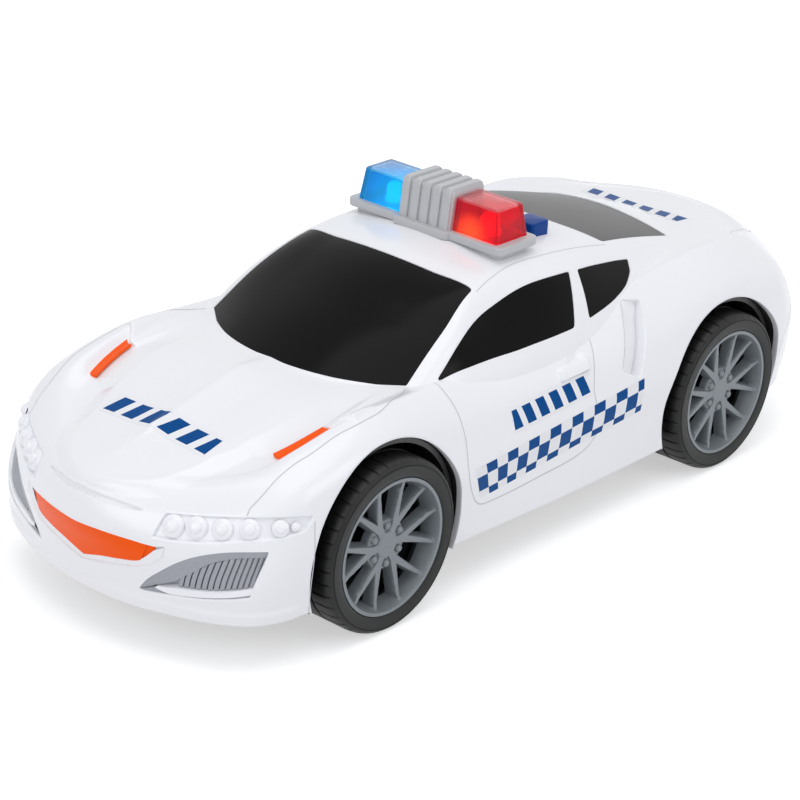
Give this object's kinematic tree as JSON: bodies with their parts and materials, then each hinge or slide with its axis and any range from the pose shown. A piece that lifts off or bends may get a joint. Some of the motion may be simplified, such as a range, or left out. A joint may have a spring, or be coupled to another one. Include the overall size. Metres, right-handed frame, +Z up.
{
  "type": "toy patrol car",
  "caption": "Toy patrol coupe with a roof light bar, friction flywheel drive, sprung siren button, battery box and speaker.",
  "frame": {"origin": "on the ground under the middle of the car, half way between the nose and the tail", "axes": "+X towards the nose, +Y to the left of the car, +Z up"},
  "size_m": [0.2751, 0.1116, 0.096],
  "materials": {
    "body_white": "glossy white moulded plastic",
    "window_black": "satin black moulded plastic",
    "orange": "bright orange moulded plastic",
    "intake_silver": "silver-grey plastic",
    "bar_grey": "grey plastic",
    "red_clear": "clear red plastic",
    "blue_clear": "clear blue plastic",
    "bulb_red": "clear resin lamp",
    "bulb_blue": "clear resin lamp",
    "chassis_black": "matt black plastic",
    "screw_steel": "bright steel",
    "cell_sleeve": "printed sleeve",
    "contact_metal": "plated spring steel",
    "board_green": "coated board",
    "switch_black": "matt black plastic",
    "button_blue": "blue plastic",
    "speaker_metal": "pressed metal frame",
    "ring_black": "matt black plastic",
    "gear_natural": "natural acetal plastic",
    "pin_steel": "bright steel",
    "flywheel_iron": "turned iron",
    "case_grey": "pale grey plastic",
    "lead_red": "insulated wire",
    "lead_blue": "insulated wire",
    "rim_silver": "silver-grey painted plastic",
    "tyre_black": "soft black rubber"
  },
  "bodies": {
    "car": {"body_shell": "body_white", "windscreen": "window_black", "rear_window": "window_black", "left_door_window": "window_black", "right_door_window": "window_black", "left_quarter_window": "window_black", "right_quarter_window": "window_black", "grille_panel": "orange", "left_hood_strip": "orange", "right_hood_strip": "orange", "left_intake_grille": "intake_silver", "right_intake_grille": "intake_silver", "lightbar_base": "bar_grey", "lightbar_cover": "bar_grey", "red_lens": "red_clear", "blue_lens": "blue_clear", "red_led": "bulb_red", "blue_led": "bulb_blue", "chassis": "chassis_black", "battery_door": "chassis_black", "lightbar_screws": "screw_steel", "chassis_screws": "screw_steel", "battery_door_screw": "screw_steel", "board_screws": "screw_steel", "gear_case_screws": "screw_steel", "battery_cells": "cell_sleeve", "battery_contacts": "contact_metal", "circuit_board": "board_green", "tact_switch": "switch_black", "speaker": "speaker_metal", "speaker_ring": "ring_black", "idler_pin": "pin_steel", "gear_case": "case_grey", "gear_case_cover": "case_grey", "battery_lead": "lead_red", "speaker_lead": "lead_blue"},
    "front_wheels": {"front_axle": "pin_steel", "left_front_rim": "rim_silver", "right_front_rim": "rim_silver", "left_front_tyre": "tyre_black", "right_front_tyre": "tyre_black"},
    "rear_wheels": {"rear_axle": "pin_steel", "left_rear_rim": "rim_silver", "right_rear_rim": "rim_silver", "left_rear_tyre": "tyre_black", "right_rear_tyre": "tyre_black", "drive_gear": "gear_natural"},
    "idler": {"idler_gear": "gear_natural"},
    "flywheel": {"flywheel": "flywheel_iron"},
    "siren_button": {"siren_button": "button_blue", "switch_plunger": "switch_black"}
  },
  "joints": [
    {"name": "front_axle_spin", "type": "hinge", "parent": "car", "child": "front_wheels", "pos_m": [0.075, 0, 0.0249], "axis": [0, 1, 0], "continuous": true},
    {"name": "rear_axle_spin", "type": "hinge", "parent": "car", "child": "rear_wheels", "pos_m": [-0.075, 0, 0.0249], "axis": [0, 1, 0], "continuous": true},
    {"name": "idler_spin", "type": "hinge", "parent": "car", "child": "idler", "pos_m": [-0.06581, 0, 0.03261], "axis": [0, 1, 0], "continuous": true},
    {"name": "flywheel_spin", "type": "hinge", "parent": "car", "child": "flywheel", "pos_m": [-0.05392, 0, 0.03428], "axis": [0, 1, 0], "continuous": true},
    {"name": "button_press", "type": "slide", "parent": "car", "child": "siren_button", "axis": [0, 0, -1], "range_m": [0, 0.0012], "stiffness_N_per_m": 600, "springref_m": -0.0005}
  ],
  "couplings": [
    {"joint": "idler_spin", "follows": "rear_axle_spin", "ratio": -3},
    {"joint": "flywheel_spin", "follows": "rear_axle_spin", "ratio": 9}
  ]
}
